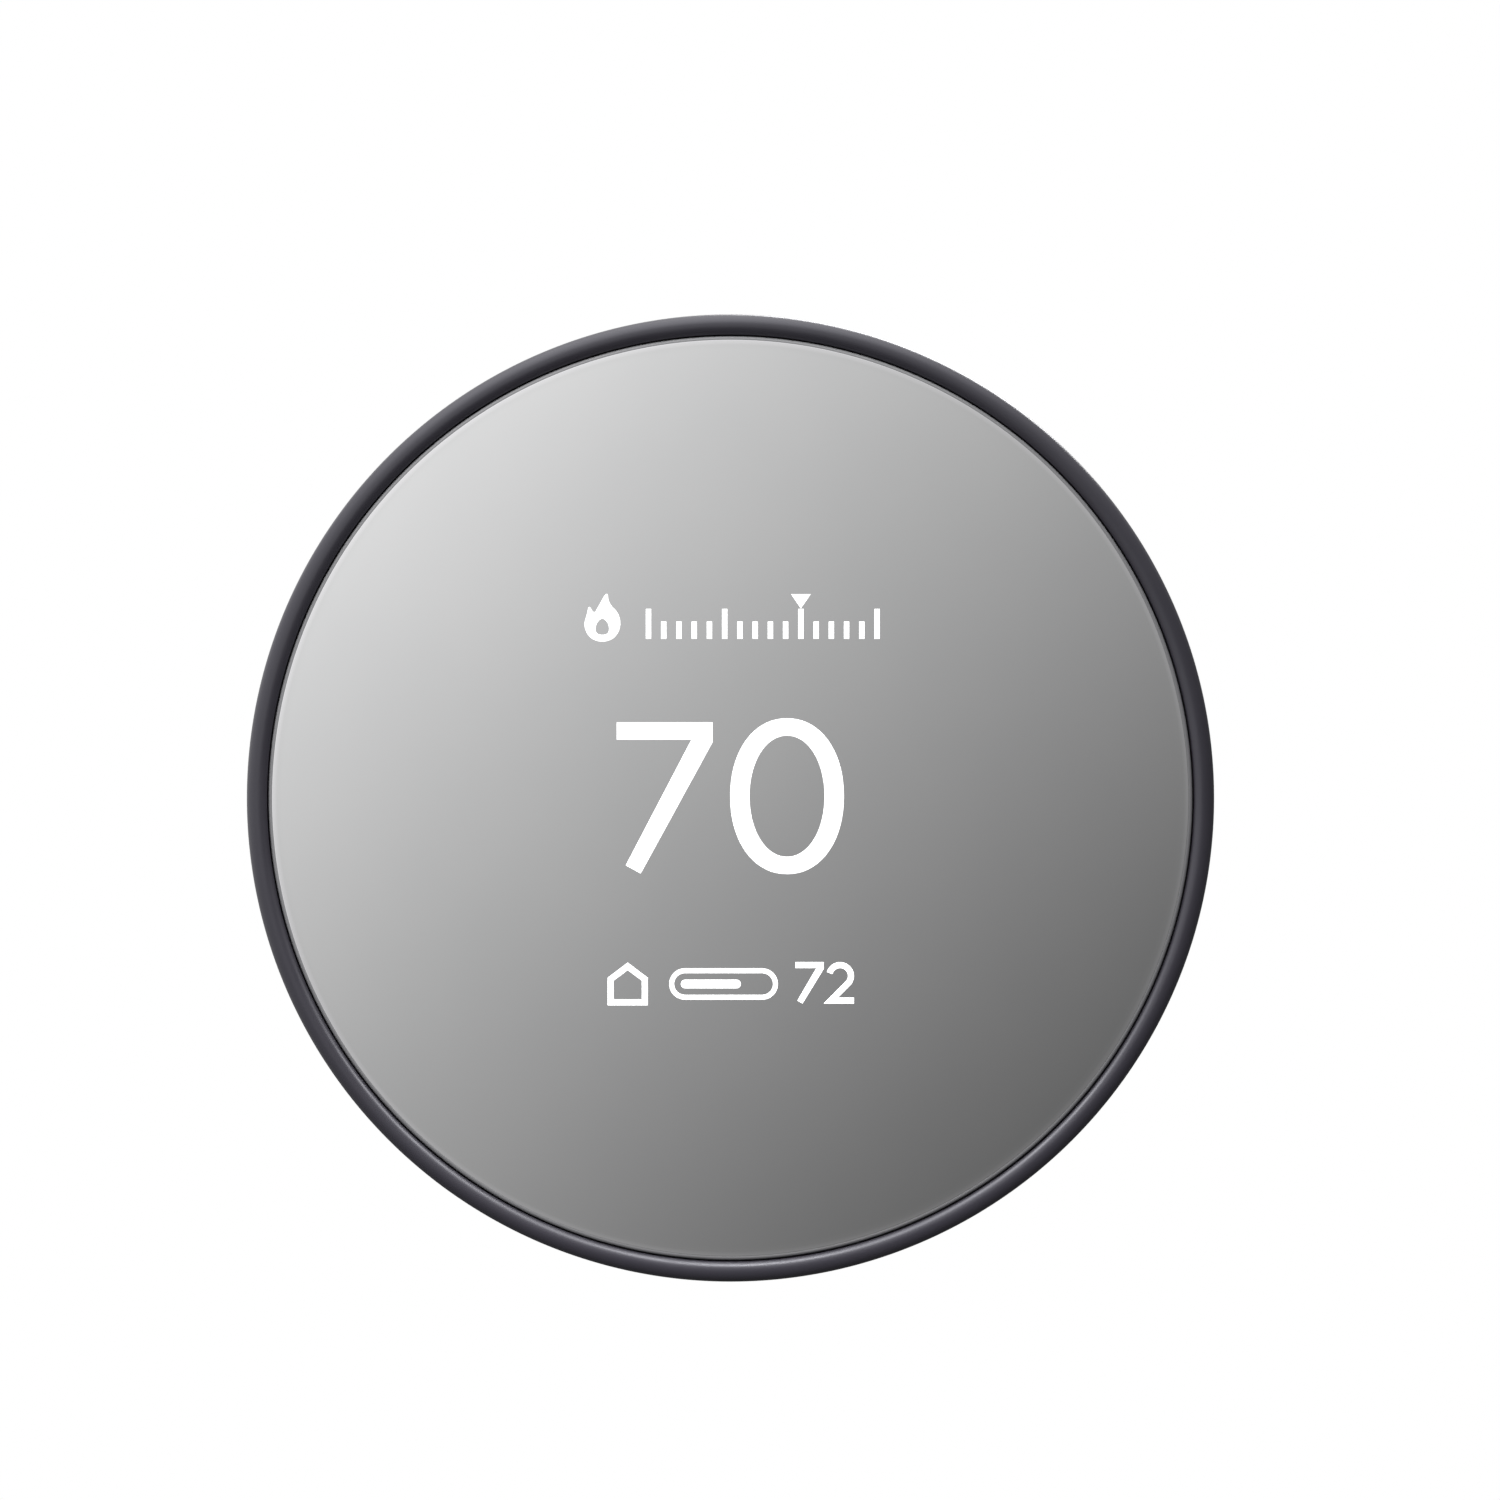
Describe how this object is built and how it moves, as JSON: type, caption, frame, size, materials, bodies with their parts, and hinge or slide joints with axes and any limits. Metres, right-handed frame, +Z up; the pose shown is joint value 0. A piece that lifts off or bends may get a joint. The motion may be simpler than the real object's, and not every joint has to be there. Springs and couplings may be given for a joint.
{
  "type": "wall thermostat",
  "caption": "Round mirror-faced thermostat head that plugs onto a wall base with push-in wire terminals and a bubble level.",
  "frame": {"origin": "centre of the base's wall face, on the axis of the round head", "axes": "+Z up the wall, +Y into the wall, so the lens faces -Y; +X is to the right as the lens is read"},
  "size_m": [0.084, 0.0273, 0.084],
  "materials": {
    "mirror_lens": "half-mirror coating on a domed clear lens, polished",
    "charcoal_plastic": "charcoal, fine satin texture",
    "black_tape": "double-sided foam tape",
    "frame_plastic": "black moulded, matte",
    "panel_glass": "display glass, dark when off",
    "backlight_case": "pressed tray, satin",
    "flex_film": "amber polyimide film",
    "screw_steel": "zinc plated",
    "head_laminate": "green solder mask on glass laminate",
    "base_laminate": "green solder mask on glass laminate",
    "shield_tin": "tinned sheet, matte",
    "chip_epoxy": "black moulded epoxy",
    "connector_plastic": "black moulded nylon",
    "connector_ivory": "ivory moulded nylon",
    "copper_foil": "etched copper foil",
    "contact_gold": "gold flash on brass",
    "nickel_contact": "nickel plated",
    "battery_jacket": "plain dark jacket, pale band at one end",
    "base_plastic": "light grey, fine texture",
    "cover_plastic": "mid grey, fine texture",
    "terminal_plastic": "black moulded",
    "tab_plastic": "white moulded",
    "spring_steel": "spring temper",
    "cradle_plastic": "white moulded",
    "vial_acrylic": "clear acrylic tube",
    "vial_liquid": "green level liquid"
  },
  "bodies": {
    "base": {"base_plate": "base_plastic", "base_cover": "cover_plastic", "base_cover_screws": "screw_steel", "base_board": "base_laminate", "terminal_block_upper": "terminal_plastic", "terminal_block_lower": "terminal_plastic", "terminal_contacts": "contact_gold", "connector_socket": "connector_plastic", "level_cradle": "cradle_plastic", "level_vial": "vial_acrylic", "level_fluid": "vial_liquid", "retention_springs": "spring_steel", "clamp_spring_1": "spring_steel", "clamp_spring_2": "spring_steel", "clamp_spring_3": "spring_steel", "clamp_spring_4": "spring_steel", "clamp_spring_5": "spring_steel", "clamp_spring_6": "spring_steel", "clamp_spring_7": "spring_steel", "clamp_spring_8": "spring_steel"},
    "head": {"lens": "mirror_lens", "lens_adhesive": "black_tape", "front_housing": "charcoal_plastic", "display_gasket": "black_tape", "lcd_panel": "panel_glass", "backlight_unit": "backlight_case", "display_frame": "frame_plastic", "display_frame_screws": "screw_steel", "display_flex": "flex_film", "flex_connector": "connector_ivory", "main_board": "head_laminate", "board_screws": "screw_steel", "processor_shield": "shield_tin", "radio_shield": "shield_tin", "board_components": "chip_epoxy", "sounder": "chip_epoxy", "sensor_board": "head_laminate", "sensor_connector": "connector_ivory", "radar_chip": "chip_epoxy", "light_sensors": "chip_epoxy", "climate_sensor_board": "head_laminate", "climate_sensor": "chip_epoxy", "touch_strip": "copper_foil", "touch_tail": "flex_film", "plug_header": "connector_plastic", "plug_pins": "contact_gold", "rear_cover": "frame_plastic", "rear_cover_screws": "screw_steel", "battery_left": "battery_jacket", "battery_right": "battery_jacket", "battery_springs": "nickel_contact", "battery_plates": "nickel_contact"},
    "terminal_tab_1": {"terminal_tab_1": "tab_plastic"},
    "terminal_tab_2": {"terminal_tab_2": "tab_plastic"},
    "terminal_tab_3": {"terminal_tab_3": "tab_plastic"},
    "terminal_tab_4": {"terminal_tab_4": "tab_plastic"},
    "terminal_tab_5": {"terminal_tab_5": "tab_plastic"},
    "terminal_tab_6": {"terminal_tab_6": "tab_plastic"},
    "terminal_tab_7": {"terminal_tab_7": "tab_plastic"},
    "terminal_tab_8": {"terminal_tab_8": "tab_plastic"}
  },
  "joints": [
    {"name": "head_pull", "type": "slide", "parent": "base", "child": "head", "axis": [0, -1, 0], "range_m": [0, 0.05]},
    {"name": "tab_1_press", "type": "slide", "parent": "base", "child": "terminal_tab_1", "axis": [0, 1, 0], "range_m": [0, 0.002], "stiffness_N_per_m": 400, "springref_m": -0.0015, "deforming": ["clamp_spring_1"]},
    {"name": "tab_2_press", "type": "slide", "parent": "base", "child": "terminal_tab_2", "axis": [0, 1, 0], "range_m": [0, 0.002], "stiffness_N_per_m": 400, "springref_m": -0.0015, "deforming": ["clamp_spring_2"]},
    {"name": "tab_3_press", "type": "slide", "parent": "base", "child": "terminal_tab_3", "axis": [0, 1, 0], "range_m": [0, 0.002], "stiffness_N_per_m": 400, "springref_m": -0.0015, "deforming": ["clamp_spring_3"]},
    {"name": "tab_4_press", "type": "slide", "parent": "base", "child": "terminal_tab_4", "axis": [0, 1, 0], "range_m": [0, 0.002], "stiffness_N_per_m": 400, "springref_m": -0.0015, "deforming": ["clamp_spring_4"]},
    {"name": "tab_5_press", "type": "slide", "parent": "base", "child": "terminal_tab_5", "axis": [0, 1, 0], "range_m": [0, 0.002], "stiffness_N_per_m": 400, "springref_m": -0.0015, "deforming": ["clamp_spring_5"]},
    {"name": "tab_6_press", "type": "slide", "parent": "base", "child": "terminal_tab_6", "axis": [0, 1, 0], "range_m": [0, 0.002], "stiffness_N_per_m": 400, "springref_m": -0.0015, "deforming": ["clamp_spring_6"]},
    {"name": "tab_7_press", "type": "slide", "parent": "base", "child": "terminal_tab_7", "axis": [0, 1, 0], "range_m": [0, 0.002], "stiffness_N_per_m": 400, "springref_m": -0.0015, "deforming": ["clamp_spring_7"]},
    {"name": "tab_8_press", "type": "slide", "parent": "base", "child": "terminal_tab_8", "axis": [0, 1, 0], "range_m": [0, 0.002], "stiffness_N_per_m": 400, "springref_m": -0.0015, "deforming": ["clamp_spring_8"]}
  ]
}
